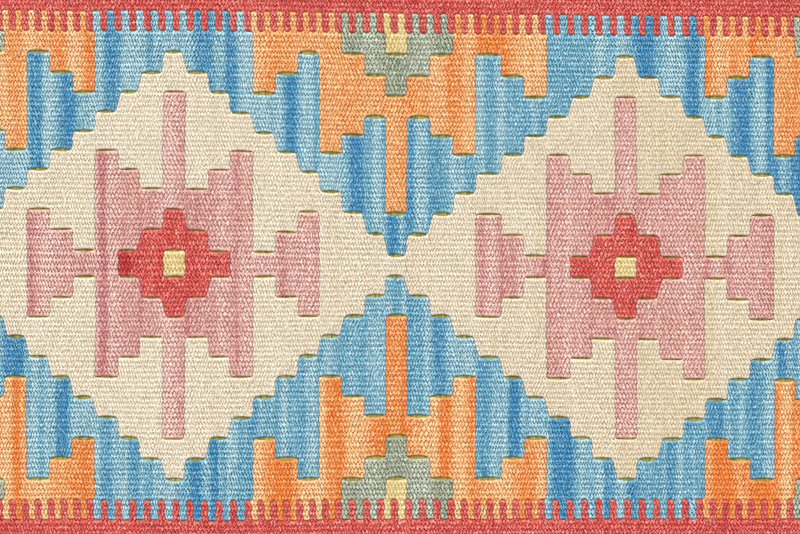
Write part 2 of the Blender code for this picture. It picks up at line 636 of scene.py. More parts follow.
def weave_face(count, top):
    """Give the x, y and z of every point of one face of the cloth, before it is laid."""
    places = COUNTS[count]
    row, pick = np.indices(weft_x[count].shape)
    warp = row // PARTS
    part = row % PARTS
    outward = np.choose(part, (0, 1, -1))
    crest = (pick + warp) % 2 == (1 if top else 0)
    rim = (row == 0) | (row == ROWS) | (pick == 0) | (pick == len(places) - 1)
    lip = (part == 0) & (level[count][np.arange(ROWS + 1) // PARTS] | rim)
    free = np.isnan(turned_x[count]) & ~rim
    lean = (LEAN + PATCH_LEAN * lean_patches(places)) * outward * (1 if top else -1)
    gap = np.diff(weft_x[count], axis=1)
    before, after = (np.pad(gap, ((0, 0), ends), "edge") for ends in ((1, 0), (0, 1)))
    by_chance = np.clip(loose.normal(0, 1, row.shape), -MOST_LOOSE, MOST_LOOSE)
    stray = LOOSE * np.minimum(before, after) * by_chance
    share = np.minimum(room_beside(~free) / UNEVEN_PICKS, 1)
    stray += share * (UNEVEN_YARN * thick_and_thin(places) + JOSTLE * jostling(places))
    x = weft_x[count] + lean * ~rim + stray * free
    x = np.where(free, keep_order(x, 1), x)
    pinch = PINCH * ~crest * outward
    tips = (part == 0) * ~lip * np.where(crest, -LOCK, LOCK)
    y = (warp + SHARES[part] + pinch) * WARP_PITCH - CLOTH_WIDTH / 2
    y += tips + PATCH_STRAY * stray_across(places) * ~rim
    y += free * ~lip * loose.normal(0, LOOSE_ACROSS, row.shape)
    y = keep_order(y, 0)
    side_dip = SIDE_DIP * np.where(free, 1.0, TURN_DIP)
    dip = np.where(part == 0, WARP_DIP, np.where(crest, 0.0, side_dip))
    dip = dip + free * (part > 0) * np.abs(loose.normal(0, LOOSE_ACROSS, row.shape))
    z = CREST - dip if top else dip
    return x, y, np.where(rim, ROLLED_TOP if top else ROLLED_UNDER, z)


faces_of_weave = {
    count: {top: weave_face(count, top) for top in (True, False)} for count in COUNTS
}
print("points on each face:", {count: x.size for count, x in weft_x.items()})

# %% [markdown]
# ## Uneven dye
#
# Hand-dyed yarn changes shade along the hank, which weavers call abrash. In a kilim it shows as
# bands across the warps, which last until a length of yarn is used up. The bands were read from
# plots of the photo's mean colour along each wool, and corrected where the render's differed.
# Each is its middle and its half width in millimetres, and the depth of its dye, from 0 for the
# lightest yarn to 1 for the deepest.

# %% Place the bands of lighter and deeper dye
DYE_BANDS = {
    "cream_left": ((-120, 70, .28),),
    "cream_right": ((78, 34, .55), (128, 30, .82), (185, 26, .7)),
    "blue_upper": (
        (-226, 5, .8), (-208, 6, .9), (-191, 1, .3), (-179.6, 3.1, .95), (-172.5, 2, 0),
        (-163.5, 4.8, .88), (-141.5, 3.6, .85), (-122.5, 1.5, .58), (-110, 4, .25), (-96, 4.8, .84),
        (-82.7, 2.9, .88), (-62.5, 1.3, .3), (-53.3, 3.4, .93), (-41, 1.3, .6), (-21, 4.3, .95),
        (-14.5, 1.5, .5), (-7, 1.5, .4), (-3, 3.4, .97), (5, 2.4, .87), (18, 4, .7),
        (23.5, 1.8, .5), (35, 3, .5), (45, 2.6, .52), (56, 3.4, .55), (62, 3, .55),
        (71.5, 3.5, .55), (81, 6, .5), (91, 5, .48), (104, 2.5, .4), (121, 6.2, .95),
        (144, 3.7, .95), (157, 1.5, .3), (169, 5.3, .95), (184, 3.3, .92), (190, 2, .35),
        (196, 4, 1), (217, 6, .8),
    ),
    "blue_lower": (
        (-215, 6, .8), (-190, 5.4, .96), (-176, 1.5, .5), (-165.5, 3.6, .9), (-158, 2.5, .25),
        (-144.5, 3.2, .75), (-130, 2.7, .65), (-123, 2.5, .5), (-107, 3, .4), (-100.2, 3.4, .92),
        (-91, 2.3, .8), (-86.5, 1.5, .5), (-77.5, 2, .45), (-72, 3.3, .6), (-65, 2.5, .42),
        (-60.5, 2, .55), (-53.5, 1.5, .5), (-48.5, 3, .6), (-43, 2, .28), (-38.5, 2, .5),
        (-34, 2.5, .25), (-27, 3.3, .6), (-22, 1.8, .4), (-18, 2.3, .55), (-13, 2.5, .38),
        (-9, 3, .3), (-1, 2.3, .58), (5.5, 1.8, .72), (9.5, 2.2, .58), (20, 3.9, .75),
        (41, 3.3, .75), (48, 3, .3), (56.5, 2.9, .92), (62, 2, .35), (80.7, 6, .9), (95, 3, .25),
        (103.5, 2.9, .85), (114.5, 2.8, .8), (120, 2.5, .5), (126.5, 3.2, .62), (134, 2.4, .52),
        (142, 2.3, .55), (148, 2.5, .45), (156, 4.6, .8), (164.5, 1.8, .55), (174.5, 4.6, .7),
        (188.5, 2.1, .85), (195, 1.7, .6), (212, 7, .8),
    ),
    "orange_upper": (
        (-214, 8, .7), (-195, 3, .15), (-189, 2.3, .5), (-182, 3, .05), (-176, 3, .42),
        (-166.2, 3.8, .8), (-160.5, 3, .04), (-152, 3, .85), (-70, 3.5, .12), (-60, 4.5, .6),
        (-46, 12, .38), (5, 4, .68), (18, 2.5, .2), (26.5, 3, .7), (35, 2.8, .1), (46, 7.5, .86),
        (54, 2, .6), (65, 6, .1), (152, 1.5, .75), (159, 3, .1), (166, 3, .54), (174.5, 2.4, .8),
        (196, 6, .6),
    ),
    "orange_lower": (
        (-208, 7, .8), (-193.5, 3, .02), (-187.8, 2.1, .8), (-176, 5, .15), (-165, 2.5, .5),
        (-156, 6, .76), (-70, 3, .03), (-57.5, 5.5, 1), (-42, 5.5, .05), (-31.8, 3.4, 1),
        (-21, 4.5, .08), (-9.2, 5.3, .95), (2.5, 2.5, .8), (15.5, 4.5, .12), (22.8, 2.8, .95),
        (30, 2.8, .08), (37.5, 4, .75), (44, 1.5, .3), (50.3, 3.3, .03), (62, 5, .62),
        (70, 2, .25), (160, 6.3, 1.05), (168.5, 2, .4), (179.5, 8, 1.08), (191.3, 2.8, .12),
        (198, 4.5, .95), (216, 8, .7),
    ),
    "rose_left": (
        (-183, 3, .95), (-173, 3, .1), (-157, 5, .55), (-149.5, 1.5, .2), (-146, 2, .92),
        (-141, 3, .1), (-125, 5, .52), (-113, 5, .05), (-100, 6, .65), (-86, 3, .1),
        (-80, 3, .6), (-74, 3, .28), (-64, 3, .25), (-57, 3, .62), (-50, 3, .22), (-42, 2.5, .4),
        (-16, 12, .28),
    ),
    "rose_right": (
        (8, 8, .28), (41, 1.5, .75), (46, 2.5, .2), (51, 2.5, .8), (57, 3, .38), (64, 4, .18),
        (72.5, 2, .9), (77, 3, .6), (82, 2, .35), (95, 3, .7), (102, 4, .55), (109, 2, .32),
        (118, 4, .6), (128, 5, .55), (137, 3, .58), (145, 4, .35), (151.5, 1.5, .65),
        (156, 2, .12), (162.8, 1, .8), (168, 3, .3), (173, 2.5, .42), (181, 3, .6),
    ),
    "star_left": ((-136, 5, .95), (-121, 3, .3), (-104, 3, .6)),
    "sage_blocks": ((-24, 3, .5), (-15, 4, .2), (-2, 7, .6), (13, 4, .25), (22, 5, .85)),
}
print("bands of dye:", sum(len(bands) for bands in DYE_BANDS.values()))

# %% [markdown]
# Within a band no two picks are quite the same either. Each gets a small chance shade of its
# own, and one that it shares with a few picks around it, as along a length of yarn.

# %% Dye every pick
DYE_BASE = {"blue": .12, "orange": .42, "rose": .42}
DYE_MIDDLE = 0.45
BAND_POWER = 6             # how sharply a band starts and ends
PICK_SHADE = 0.09          # how much one pick differs from the next
HANK_SHADE = 0.055         # how much it differs over a few picks
HANK_PICKS = ((2, 1.0), (7, 0.6))     # over how many picks, and how much of that shade each has
EVEN_DYE = 0.6             # the blue, with its strong bands, is more even within a band
PATCH_SHADE = 0.06         # how much one patch of the cloth differs from the next
DYE_PATCH = (0.0034, 21)   # its length along the warps, and its rows
DYE_SEED = 41
shades = np.random.default_rng(DYE_SEED)
dye_patches = soft_field(shades, *DYE_PATCH)
drifting = {count: PATCH_SHADE * dye_patches(places) for count, places in COUNTS.items()}


def smooth_noise(count, spread):
    """Make seeded noise that changes over about `spread` picks."""
    rough = shades.normal(0, 1, count + 6 * spread)
    reach = np.arange(-3 * spread, 3 * spread + 1)
    bell = np.exp(-0.5 * (reach / spread) ** 2)
    smooth = np.convolve(rough, bell / np.sqrt((bell ** 2).sum()), "valid")
    return smooth[:count]


def dye_of(name):
    """Give the depth of the dye of every pick of one piece."""
    middle = 1000 * COUNTS[count_of(name)]
    depth = np.full(len(middle), DYE_BASE.get(wool_of(name), DYE_MIDDLE))
    for place, half_width, amount in DYE_BANDS.get(name, ()):
        share = 1 / (1 + ((middle - place) / half_width) ** BAND_POWER)
        depth += share * (amount - depth)
    chance = PICK_SHADE * shades.normal(0, 1, len(middle))
    chance += HANK_SHADE * sum(part * smooth_noise(len(middle), n) for n, part in HANK_PICKS)
    return depth + chance * (EVEN_DYE if wool_of(name) == "blue" else 1)


dyes = {name: dye_of(name) for name in PIECES}
print("depth of the upper blue on ten picks:", np.round(dyes["blue_upper"][60:70], 2))

# %% [markdown]
# ## Cutting a piece out of the count
#
# Each piece starts as one grid with a face for every pick and every third of a warp. The
# faces of other wools are deleted, and what is left is extruded into a closed sheet.
# Up to here a point's x and y are simply its pick and its row, and its z is 0 below
# and 1 on top. That makes it easy to look up where the point lies on the cloth.

# %% Cut one piece and close it
def cut_piece(name):
    """Return a closed bmesh on the counting grid, and the table of what the piece holds."""
    held = owner[count_of(name)] == PIECES.index(name)
    warps = np.flatnonzero(held.any(axis=1))
    picks = np.flatnonzero(held.any(axis=0))
    wide = int(picks[-1] + 1 - picks[0])
    high = int(PARTS * (warps[-1] + 1 - warps[0]))
    middle = Matrix.Translation((picks[0] + wide / 2, PARTS * warps[0] + high / 2, 0))
    stretch = Matrix.Diagonal((wide, high, 1, 1))
    piece = bmesh.new()
    bmesh.ops.create_grid(
        piece, x_segments=wide, y_segments=high, size=0.5, matrix=middle @ stretch,
    )
    spare = []
    for face in piece.faces:
        spot = face.calc_center_median()
        if not held[int(spot.y) // PARTS, int(spot.x)]:
            spare.append(face)
    bmesh.ops.delete(piece, geom=spare, context="FACES")
    grown = bmesh.ops.extrude_face_region(piece, geom=piece.faces[:])["geom"]
    lifted = [item for item in grown if isinstance(item, bmesh.types.BMVert)]
    bmesh.ops.translate(piece, vec=(0, 0, 1), verts=lifted)
    bmesh.ops.recalc_face_normals(piece, faces=piece.faces[:])
    return piece, held


star, _ = cut_piece("star_left")
print("the left star is cut as", len(star.faces), "faces")
star.free()

# %% [markdown]
# ## From the count to the cloth
#
# A point inside a slit belongs either to the lip above or to the lip below, and the table of
# held faces tells which. Lips and outer edges are rolled: the yarn turns round the last
# warp there, so the edge is lower on top and higher below.

# %% Move the points of a piece to their places
OPEN_LIP = 0.00005         # a lip that moves further than this is rolled


def side_of_slit(held, pick, row):
    """Say if a point's piece lies above (1) or below (-1) its warp line, or on both sides (0)."""
    framed = np.zeros((WARPS + 2, held.shape[1] + 2), bool)
    framed[1:-1, 1:-1] = held
    warp = row // PARTS
    above = framed[warp + 1, pick] | framed[warp + 1, pick + 1]
    below = framed[warp, pick] | framed[warp, pick + 1]
    return np.where(row % PARTS == 0, above.astype(int) - below.astype(int), 0)


def place_points(name, spots, held):
    """Turn counted points into places on the cloth. Returns the places and each point's side."""
    count = count_of(name)
    pick, row, height = spots.T
    top = height > 0.5
    side = side_of_slit(held, pick, row)
    lip = lips[count][row // PARTS, pick] * (row % PARTS == 0)
    above, below = faces_of_weave[count][True], faces_of_weave[count][False]
    at = [np.where(top, above[axis][row, pick], below[axis][row, pick]) for axis in range(3)]
    x, y = on_cloth(at[0], at[1] + pushed[count][row, pick] + side * lip)
    rolled = np.where(top, ROLLED_TOP, ROLLED_UNDER)
    open_lip = (lip > OPEN_LIP) & (side != 0)
    z = np.where(open_lip, rolled, at[2])
    turned = side * (open_lip | (row == 0) | (row == ROWS))
    return np.stack([x, y, z], axis=1), turned


print("a rolled edge is", round(1000 * (ROLLED_TOP - ROLLED_UNDER), 2), "mm thick")

# %% [markdown]
# ## Maps
#
# Two maps go on each piece. `weft_place` counts floats along the warp and warps across
# it, so a material can find the middle of its float. `OFBake` is a plain top view, with the
# underside in a strip of its own, for painting the finish into a picture.

# %% Map a piece
TURN_SHARE = 0.16          # share of a warp that the wool covers before it turns round an edge
MAP_SHEAR = 0.4            # how far the bake map leans, so that the rim shows in it
MAP_MARGIN = 0.003
MAP_SPAN = 0.994
TOP_STRIP = (0.26, 0.735)  # where a strip of the bake map starts, and how tall it is
UNDER_STRIP = (0.005, 0.24)


def read_back(items, what, width, kind):
    """Read one property of all mesh items into an array."""
    values = np.zeros(len(items) * width, kind)
    items.foreach_get(what, values)
    return values.reshape(-1, width) if width > 1 else values


def face_sides(mesh, spots):
    """Tell for each face: 1 on top, 0 underneath, -1 for the rim between them."""
    corner = read_back(mesh.loops, "vertex_index", 1, np.int32)
    heights = spots[corner, 2].reshape(-1, 4).sum(axis=1)
    return np.where(heights == 4, 1, np.where(heights == 0, 0, -1)), corner


def lay_map(mesh, name, u, v):
    """Store a map on the corners of a mesh."""
    layer = mesh.uv_layers.new(name=name)
    layer.data.foreach_set("uv", np.stack([u, v], axis=1).astype(np.float32).ravel())


def map_weft(mesh, spots, turned, sides, corner):
    """Count floats in u and warps in v on every corner."""
    under = np.repeat(sides == 0, 4)
    u = spots[corner, 0] / 2 + 0.5 * under
    v = spots[corner, 1] / PARTS + TURN_SHARE * turned[corner]
    lay_map(mesh, "weft_place", u, v)


def map_bake(mesh, places, sides, corner):
    """Lay the top and the rim in one strip of the map, and the underside in another."""
    under = np.repeat(sides == 0, 4)
    flat = places[corner, :2] + MAP_SHEAR * places[corner, 2:3]
    low = flat.min(axis=0)
    share = (flat - low) / (flat.max(axis=0) - low)
    start = np.where(under, UNDER_STRIP[0], TOP_STRIP[0])
    tall = np.where(under, UNDER_STRIP[1], TOP_STRIP[1])
    lay_map(mesh, "OFBake", MAP_MARGIN + MAP_SPAN * share[:, 0], start + tall * share[:, 1])


print("the underside takes", round(100 * UNDER_STRIP[1]), "% of the bake map's height")

# %% [markdown]
# ## Gaps and dye
#
# The gaps between floats are marked as sharp edges, so that each float is shaded as its own
# rounded form. The depth of the dye is kept on the faces, where a material can read it by
# its name. Both halves of a float get the same depth, or the yarn would change shade in the
# middle of a float.

# %% Mark the gaps of a piece and dye its picks
def mark_gaps(mesh, spots, sides):
    """Mark the edges between floats as sharp, except along a rim."""
    ends = read_back(mesh.edges, "vertices", 2, np.int32)
    first = spots[ends[:, 0]]
    second = spots[ends[:, 1]]
    across_warps = (first[:, 1] == second[:, 1]) & (first[:, 1] % PARTS == 0)
    warp = np.minimum(first[:, 1], second[:, 1]) // PARTS
    valley = (first[:, 0] + warp) % 2 == 1 - first[:, 2]
    beside = (first[:, 0] == second[:, 0]) & valley
    sharp = (across_warps | beside) & (first[:, 2] == second[:, 2])
    rim_edges = read_back(mesh.loops, "edge_index", 1, np.int32).reshape(-1, 4)[sides == -1]
    sharp[rim_edges.ravel()] = False
    layer = mesh.attributes.new("sharp_edge", "BOOLEAN", "EDGE")
    layer.data.foreach_set("value", sharp)


def colour_picks(mesh, spots, corner, name):
    """Keep the depth of the dye of each face, which both halves of a float share."""
    column, row, height = spots[corner].reshape(-1, 4, 3).min(axis=1).T
    middle = column + (column + row // PARTS + height) % 2
    middle = np.minimum(middle, len(dyes[name]) - 1)
    depth = dyes[name][middle] + drifting[count_of(name)][row, middle]
    layer = mesh.attributes.new("dye", "FLOAT", "FACE")
    layer.data.foreach_set("value", depth.astype(np.float32))


print("the dye is kept for", sum(len(depths) for depths in dyes.values()), "picks")

# %% [markdown]
# ## Wool, seen close
#
# All the wools share three effects, so each effect is a node group that is built once and
# placed in every material. Building nodes in code repeats a few moves, so they get short
# names first: `join` links or sets one socket, `fill` does that for several by name, and
# `calc`, `blend` and `soft_step` add the nodes that are needed most. In each group `partial`
# then fixes the tree that they add to, which gives `reckon`, `mix` and `ease`.

# %% Help with nodes
NUMBER = "NodeSocketFloat"
COLOUR = "NodeSocketColor"


def join(tree, value, socket):
    """Link a socket to another, or set a plain value on it."""
    if isinstance(value, bpy.types.NodeSocket):
        tree.links.new(value, socket)
    else:
        socket.default_value = value


def fill(tree, sockets, **values):
    """Join values to sockets by name. A name's spaces are written as underscores."""
    for name, value in values.items():
        join(tree, value, sockets[name.replace("_", " ")])


def add_node(tree, kind, **values):
    """Add a node and fill its inputs."""
    made = tree.nodes.new("ShaderNode" + kind)
    fill(tree, made.inputs, **values)
    return made


def calc(tree, operation, *values):
    """Add a Math node and return its output."""
    made = add_node(tree, "Math")
    made.operation = operation
    for value, socket in zip(values, made.inputs):
        join(tree, value, socket)
    return made.outputs[0]


def blend(tree, share, first, second):
    """Add a colour mix and return its output."""
    made = add_node(tree, "Mix")
    made.data_type = "RGBA"
    for value, number in ((share, 0), (first, 6), (second, 7)):
        join(tree, value, made.inputs[number])
    return made.outputs[2]


def soft_step(tree, value, low, high):
    """Rise smoothly from 0 at low to 1 at high."""
    made = add_node(tree, "MapRange", Value=value, From_Min=low, From_Max=high)
    made.interpolation_type = "SMOOTHSTEP"
    return made.outputs["Result"]


def new_group(name, inputs, outputs):
    """Start a node group with named sockets."""
    tree = bpy.data.node_groups.new(name, "ShaderNodeTree")
    for socket, kind, value in inputs:
        made = tree.interface.new_socket(socket, in_out="INPUT", socket_type=kind)
        made.default_value = value
    for socket, kind in outputs:
        tree.interface.new_socket(socket, in_out="OUTPUT", socket_type=kind)
    print("group", name, "takes", len(inputs), "values and gives", len(outputs))
    return tree, tree.nodes.new("NodeGroupInput"), tree.nodes.new("NodeGroupOutput")


# %% [markdown]
# ## The place within a float
#
# `weft_float` reads the map of floats and warps. It gives a crown, which is 1 along the
# middle of a float and 0 at its tips, a mask for the shade painted into the gap there, and three
# random numbers for each float. Its edge is a little ragged, as wool is.

# %% Group: the place within a float
TIP_REACH = 1.03           # length of one half of a float, as a share of the pitch
LINE_CORE = 0.02           # width of the darkest painted shade at a tip, as such a share
LINE_WIDTH = 0.25          # width of the whole painted shade line
CROWN_WIDTH = 0.26         # how far from the tip the crown is at its full height
SEAM = 0.12                # how much of that painted shade lies between two floats on one warp
RAGGED_SCALE = 1100.0      # grains to the metre in a ragged edge
# the third input sets how dark the painted shade line at a float's tips is
float_group, given, wanted = new_group(
    "weft_float",
    [("Slant", NUMBER, 0.05), ("Ragged", NUMBER, 0.16), ("Dive", NUMBER, 0.8)],
    [(name, NUMBER) for name in (
        "Crown", "Gap", "Along", "Across", "Chance", "Shine", "Depth",
    )],
)
reckon = partial(calc, float_group)
ease = partial(soft_step, float_group)
place_map = add_node(float_group, "UVMap")
place_map.uv_map = "weft_place"
split = add_node(float_group, "SeparateXYZ", Vector=place_map.outputs["UV"])
on_warp = reckon("FLOOR", split.outputs["Y"])
along_yarn = reckon("FRACT", split.outputs["Y"])
odd_warp = reckon("FLOORED_MODULO", on_warp, 2.0)
stepped = reckon("MULTIPLY_ADD", odd_warp, 0.5, split.outputs["X"])
from_middle = reckon("SUBTRACT", along_yarn, 0.5)
stepped = reckon("MULTIPLY_ADD", from_middle, given.outputs["Slant"], stepped)
float_number = reckon("FLOOR", stepped)
spot = add_node(float_group, "TexCoord").outputs["Object"]
grain = add_node(float_group, "TexNoise", Vector=spot, Scale=RAGGED_SCALE, Detail=1.0)
uneven = reckon("SUBTRACT", grain.outputs["Fac"], 0.5)
ragged = reckon("MULTIPLY_ADD", uneven, given.outputs["Ragged"], stepped)
across_yarn = reckon("SUBTRACT", ragged, float_number)
off_side = reckon("ABSOLUTE", reckon("MULTIPLY_ADD", across_yarn, 2.0, -1.0))
off_tip = reckon("ABSOLUTE", reckon("MULTIPLY_ADD", along_yarn, 2.0, -1.0))
inward = reckon("MULTIPLY_ADD", off_tip, -TIP_REACH, TIP_REACH)
# painted shade: a dark line where a float dives at its tips, and a fainter one between floats
seam = reckon("MULTIPLY", ease(off_side, 0.5, 1.0), SEAM)
crown = reckon("MULTIPLY", ease(inward, 0.0, CROWN_WIDTH), reckon("SUBTRACT", 1.0, seam))
line = reckon("SUBTRACT", 1.0, ease(inward, LINE_CORE, LINE_WIDTH))
line = reckon("MULTIPLY", line, given.outputs["Dive"])
gap = reckon("MAXIMUM", seam, line)
numbers = add_node(float_group, "CombineXYZ", X=float_number, Y=on_warp)
dice = add_node(float_group, "TexWhiteNoise")
dice.noise_dimensions = "2D"
join(float_group, numbers.outputs["Vector"], dice.inputs["Vector"])
rolled = add_node(float_group, "SeparateColor", Color=dice.outputs["Color"]).outputs
fill(
    float_group, wanted.inputs, Crown=crown, Gap=gap, Along=along_yarn, Across=across_yarn,
    Chance=rolled[0], Shine=rolled[1], Depth=rolled[2],
)
print(len(float_group.nodes), "nodes")

# %% [markdown]
# ## The yarn itself
#
# `wool_fibre` gives the twist of the two-ply yarn, and loose hairs that lean one way in one
# patch of the cloth and another way in the next. The hairs are noise that is stretched along
# them, on Object coordinates, so they keep their real size.

# %% Group: twist and hairs of the yarn
TWIST_RATES = {"Across": 9.0, "Along": 7.5, "Chance": 6.3}   # how the twist turns within a float
HAIR_WIDTH = 0.00060
HAIR_LENGTH = 0.00125
HAIR_WAYS = (24, -12)      # degrees that the hairs lean, in one patch of the cloth and another
HAIR_PATCHES = 60.0        # patches to the metre
PATCH_RIM = (0.42, 0.58)   # noise between which one patch gives way to another
HAIR_RIM = (0.28, 0.72)    # noise between which a hair rises out of the yarn
DULLNESS = (0.16, 0.76)    # how much rougher a hair is, and how rough the yarn is under it
fibre_group, given, wanted = new_group(
    "wool_fibre",
    [(name, NUMBER, 0.5) for name in TWIST_RATES],
    [("Twist", NUMBER), ("Hair", NUMBER), ("Roughness", NUMBER)],
)
reckon = partial(calc, fibre_group)
ease = partial(soft_step, fibre_group)
turn = 0.0
for name, rate in TWIST_RATES.items():
    turn = reckon("MULTIPLY_ADD", given.outputs[name], rate, turn)
twist = reckon("MULTIPLY_ADD", reckon("SINE", turn), 0.5, 0.5)
spot = add_node(fibre_group, "TexCoord").outputs["Object"]
ways = []
for angle in HAIR_WAYS:
    combed = add_node(fibre_group, "Mapping", Vector=spot)
    combed.vector_type = "TEXTURE"
    combed.inputs["Rotation"].default_value = (0.0, 0.0, math.radians(angle))
    combed.inputs["Scale"].default_value = (HAIR_WIDTH, HAIR_LENGTH, HAIR_LENGTH)
    way = combed.outputs["Vector"]
    hairs = add_node(fibre_group, "TexNoise", Vector=way, Scale=1.0, Detail=1.0)
    ways.append(hairs.outputs["Fac"])
patches = add_node(fibre_group, "TexNoise", Vector=spot, Scale=HAIR_PATCHES)
patch = ease(patches.outputs["Fac"], *PATCH_RIM)
both = reckon("MULTIPLY_ADD", reckon("SUBTRACT", ways[1], ways[0]), patch, ways[0])
hair = ease(both, *HAIR_RIM)
roughness = reckon("MULTIPLY_ADD", hair, *DULLNESS)
fill(fibre_group, wanted.inputs, Twist=twist, Hair=hair, Roughness=roughness)
print(len(fibre_group.nodes), "nodes")

# %% [markdown]
# ## Dye, light and shade
#
# `dyed_wool` mixes the light, middle and deep shades of one dye by the depth that its face
# keeps. Then it paints a highlight on the crown and paints shade into the gap, in place of the
# light and shade that fall on and between real yarns. Hairs break both: they catch the painted
# highlight on a crown, and lie across the painted shade of a gap. Each pair of numbers below is
# a slope and a start, for a Multiply Add node.

# %% Group: one dye in three shades, with its crowns and gaps
# the fourth shade is a painted highlight for the crowns, the fifth the painted shade of the gaps
SHADES = ("Light", "Middle", "Deep", "Highlight", "Shadow")
BY_SHINE = (1.1, 0.3)      # painted highlight on a crown, by the float's second random number
BY_DYE = (-0.7, 1.1)       # how much of that painted highlight is left on deep dye
BY_DEPTH = (1.10, 0.62)    # how dark a gap's painted shade is, by the float's third random number
UNDER_HAIR = (-0.70, 1.35)     # how much of that painted shade is left under a hair
BETWEEN_HAIRS = (-0.62, 0.40)  # painted shade between hairs
LIT_HAIR = 0.35            # how much of a hair it takes to catch the painted highlight
TWIST_RISE = 0.16          # how high the twist stands, as a share of the crown
HAIR_RISE = 0.14
dye_group, given, wanted = new_group(
    "dyed_wool",
    [(name, COLOUR, (0.5, 0.5, 0.5, 1)) for name in SHADES]
    + [(name, NUMBER, 0.5) for name in (
        "Crown", "Gap", "Chance", "Shine", "Depth", "Twist", "Hair",
    )]
    + [("Spread", NUMBER, 0.30), ("Highlight Amount", NUMBER, 0.85)],
    [("Colour", COLOUR), ("Height", NUMBER)],
)
reckon = partial(calc, dye_group)
ease = partial(soft_step, dye_group)
mix = partial(blend, dye_group)
given = given.outputs
stored = add_node(dye_group, "Attribute")
stored.attribute_name = "dye"
by_chance = reckon("SUBTRACT", given["Chance"], 0.5)
depth = reckon("MULTIPLY_ADD", by_chance, given["Spread"], stored.outputs["Fac"])
body = mix(ease(depth, 0.0, 0.5), given["Light"], given["Middle"])
body = mix(ease(depth, 0.5, 1.0), body, given["Deep"])
# painted highlight: the crowns, where hairs stand up, are mixed towards a lighter colour
lit = reckon("MULTIPLY", ease(given["Crown"], 0.5, 1.0), ease(given["Hair"], LIT_HAIR, 1.0))
lit = reckon("MULTIPLY", lit, given["Highlight Amount"])
lit = reckon("MULTIPLY", lit, reckon("MULTIPLY_ADD", given["Shine"], *BY_SHINE))
lit = reckon("MULTIPLY", lit, reckon("MULTIPLY_ADD", depth, *BY_DYE))
body = mix(lit, body, given["Highlight"])
# painted shade: the gaps and the hollows between hairs are mixed towards a dark colour
dark = reckon("MULTIPLY", given["Gap"], reckon("MULTIPLY_ADD", given["Depth"], *BY_DEPTH))
dark = reckon("MULTIPLY", dark, reckon("MULTIPLY_ADD", given["Hair"], *UNDER_HAIR))
between = reckon("MAXIMUM", reckon("MULTIPLY_ADD", given["Hair"], *BETWEEN_HAIRS), 0.0)
body = mix(reckon("ADD", dark, between), body, given["Shadow"])
rise = reckon("MULTIPLY_ADD", given["Twist"], TWIST_RISE, given["Crown"])
rise = reckon("MULTIPLY_ADD", given["Hair"], HAIR_RISE, rise)
fill(dye_group, wanted.inputs, Colour=body, Height=rise)
print(len(dye_group.nodes), "nodes")

# %% [markdown]
# ## Seven wools
#
# Each wool is a material of its own: three shades of its dye, the colour of the highlight
# painted on its crowns, and the colour of the shade painted into its gaps, which is never grey,
# because light reaches a gap only off the same yarn. The shader itself is plain matt wool with a
# little sheen.

# %% Mix the wools
def shade(red, green, blue):
    """Turn a colour as a screen shows it, 0 to 255, into the linear one that nodes need."""
    screen = [value / 255 for value in (red, green, blue)]
    # the standard curve of a screen, straight at its dark end
    return (*[v / 12.92 if v <= 0.04045 else ((v + 0.055) / 1.055) ** 2.4 for v in screen], 1.0)


# For each wool its three dye shades, then its painted highlight and its painted shade, in the order
# of SHADES
WOOL_SHADES = {
    "cream": ((248, 235, 217), (242, 226, 205), (235, 216, 185), (254, 245, 229), (138, 125, 84)),
    "blue": ((189, 226, 236), (120, 189, 217), (56, 149, 204), (203, 238, 251), (0, 36, 54)),
    "orange": ((255, 208, 148), (253, 175, 103), (248, 134, 46), (255, 229, 187), (152, 50, 0)),
    "rose": ((245, 205, 192), (232, 176, 166), (210, 135, 134), (254, 232, 225), (118, 48, 50)),
    "red": ((241, 110, 100), (225, 82, 76), (196, 50, 54), (255, 182, 172), (106, 0, 0)),
    "sage": ((199, 206, 189), (178, 185, 163), (139, 150, 126), (232, 238, 224), (40, 54, 26)),
    "straw": ((240, 222, 172), (232, 210, 152), (226, 196, 126), (252, 242, 204), (176, 142, 66)),
}
# How dark the painted shade lines between warps are, and how much the floats differ from each other
ROW_SHADE_AND_SPREAD = {"cream": (0.85, 0.30), "blue": (1.30, 0.22)}
USUAL_SHADE_AND_SPREAD = (1.12, 0.30)
SLANT = 0.04               # how far a float slants over its warp, in floats
RAGGED = 0.40              # how ragged its edge is, in floats
RELIEF = 0.00022           # height of the crown with its twist and hairs, for the bump


def new_finish(name):
    """Start a material. Returns it with its nodes and its shader."""
    finish = bpy.data.materials.new(name)
    finish.use_nodes = True
    return finish, finish.node_tree, finish.node_tree.nodes["Principled BSDF"]


def place_group(tree, group, **values):
    """Put a group into a material and fill its inputs."""
    made = add_node(tree, "Group")
    made.node_tree = group
    fill(tree, made.inputs, **values)
    return made.outputs


def wool_material(wool):
    """Make the finish of one wool."""
    finish, tree, surface = new_finish(wool + "_wool")
    line_shade, spread = ROW_SHADE_AND_SPREAD.get(wool, USUAL_SHADE_AND_SPREAD)
    yarn = place_group(tree, float_group, Slant=SLANT, Ragged=RAGGED, Dive=line_shade)
    fibre = place_group(tree, fibre_group, **{what: yarn[what] for what in TWIST_RATES})
    dyed = place_group(
        tree, dye_group, Spread=spread, Twist=fibre["Twist"], Hair=fibre["Hair"],
        **{what: yarn[what] for what in ("Crown", "Gap", "Chance", "Shine", "Depth")},
        **{what: shade(*values) for what, values in zip(SHADES, WOOL_SHADES[wool])},
    )
    relief = add_node(tree, "Bump", Height=dyed["Height"], Strength=0.8, Distance=RELIEF)
    fill(
        tree, surface.inputs, Base_Color=dyed["Colour"], Roughness=fibre["Roughness"],
        Normal=relief.outputs["Normal"], Specular_IOR_Level=0.25, Sheen_Weight=0.12,
        Sheen_Roughness=0.45,
    )
    return finish


